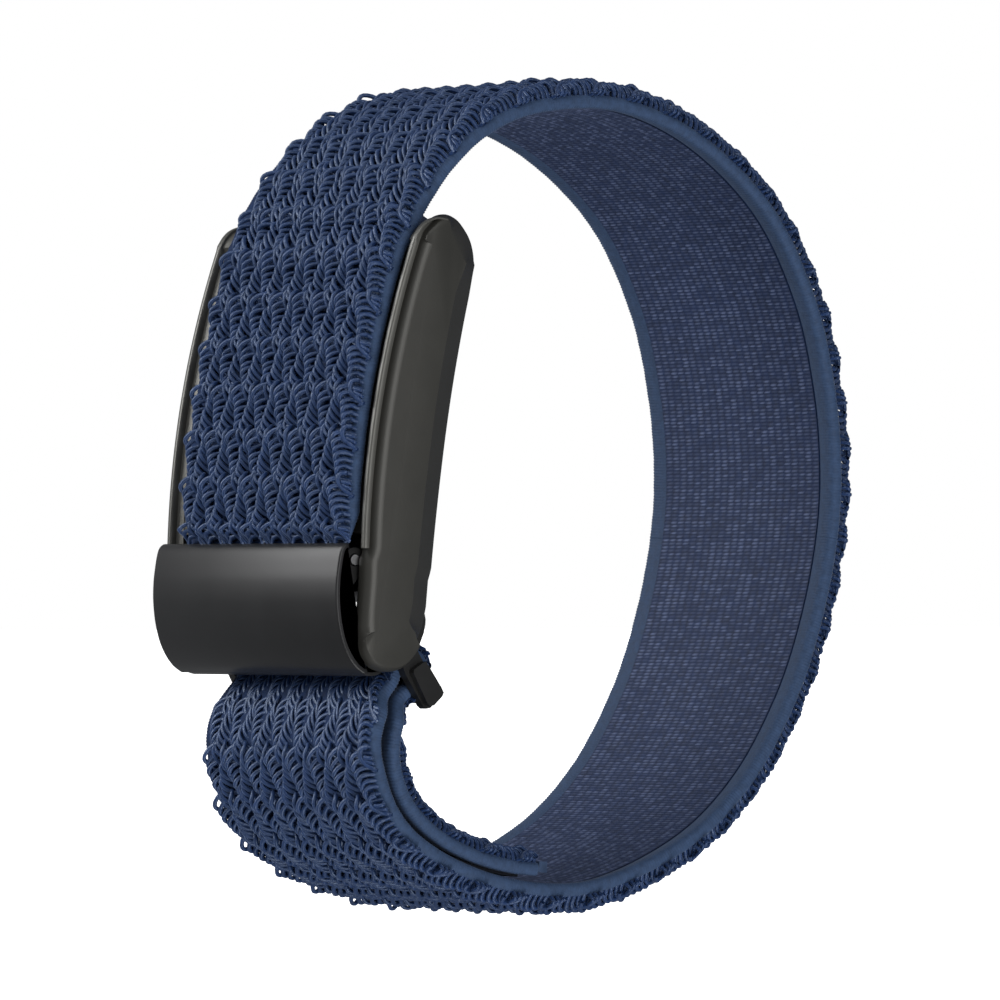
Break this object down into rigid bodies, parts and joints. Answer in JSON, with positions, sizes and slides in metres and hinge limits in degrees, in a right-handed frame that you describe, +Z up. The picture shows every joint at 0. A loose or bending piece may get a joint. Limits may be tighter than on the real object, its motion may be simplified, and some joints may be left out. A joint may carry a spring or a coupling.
{
  "type": "fitness tracker band",
  "caption": "Woven fitness band with a clip-in tracker module. The strap lifts off a rigid carrier at a hinged clasp and folds back through a swinging buckle.",
  "frame": {"origin": "middle of the band's loop, on the wrist's axis", "axes": "+X along the wrist's axis, -Y towards the tracker side, +Z up across the loop"},
  "size_m": [0.0274, 0.0494, 0.064],
  "materials": {
    "knit_navy": "knitted",
    "webbing": "woven",
    "hook_tape": "hook tape",
    "carrier_grey": "satin warm grey",
    "cover_black": "satin black",
    "buckle_black": "satin black",
    "steel": "brushed",
    "case_black": "matt",
    "gasket": "matt",
    "window_dark": "gloss, dark tinted",
    "barrier": "matt",
    "board_green": "solder mask",
    "chip_black": "moulded",
    "led_clear": "clear epoxy",
    "diode_dark": "gloss",
    "cell_silver": "foil",
    "copper": "copper",
    "ferrite": "matt",
    "flex_amber": "polyimide"
  },
  "bodies": {
    "band": {"strap_loop": "knit_navy", "strap_bend_top": "knit_navy", "carrier_frame": "carrier_grey", "top_anchor_bar": "steel", "latch_bar": "steel", "buckle_pin": "steel", "anchor_tab": "webbing"},
    "flap": {"strap_flap": "knit_navy"},
    "clasp": {"clasp_cover": "cover_black", "clasp_frame": "steel", "clasp_pin": "steel", "latch_spring": "steel"},
    "buckle": {"buckle_ring": "buckle_black", "strap_fold": "knit_navy"},
    "tail": {"strap_tail": "knit_navy", "tail_tip": "webbing", "hook_patch": "hook_tape"},
    "tracker": {"case_top": "case_black", "case_gasket": "gasket", "case_bottom": "case_black", "skin_contact": "steel", "sensor_window": "window_dark", "light_barrier": "barrier", "led_green_top": "led_clear", "led_green_left": "led_clear", "led_green_right": "led_clear", "led_red": "led_clear", "led_infrared": "led_clear", "photodiode_top": "diode_dark", "photodiode_bottom": "diode_dark", "photodiode_left": "diode_dark", "photodiode_right": "diode_dark", "sensor_board": "board_green", "main_board": "board_green", "board_screw_left": "steel", "board_screw_right": "steel", "battery_cell": "cell_silver", "processor_chip": "chip_black", "radio_chip": "chip_black", "memory_chip": "chip_black", "haptic_motor": "steel", "charge_coil": "copper", "ferrite_sheet": "ferrite", "flex_cable": "flex_amber", "antenna": "copper"}
  },
  "joints": [
    {"name": "flap_lift", "type": "hinge", "parent": "band", "child": "flap", "pos_m": [0, -0.0172, 0.0201], "axis": [-1, 0, 0], "range_deg": [0, 90], "deforming": ["strap_bend_top"]},
    {"name": "clasp_open", "type": "hinge", "parent": "flap", "child": "clasp", "pos_m": [0, -0.02194, -0.00474], "axis": [-1, 0, 0], "range_deg": [0, 20]},
    {"name": "buckle_swing", "type": "hinge", "parent": "band", "child": "buckle", "pos_m": [0, -0.01698, -0.00938], "axis": [1, 0, 0], "range_deg": [-6, 10]},
    {"name": "tail_peel", "type": "hinge", "parent": "band", "child": "tail", "pos_m": [0, -0.01782, -0.01743], "axis": [1, 0, 0], "range_deg": [0, 25]},
    {"name": "tracker_release", "type": "slide", "parent": "band", "child": "tracker", "axis": [0, 0.9888, -0.1495], "range_m": [0, 0.009]}
  ]
}
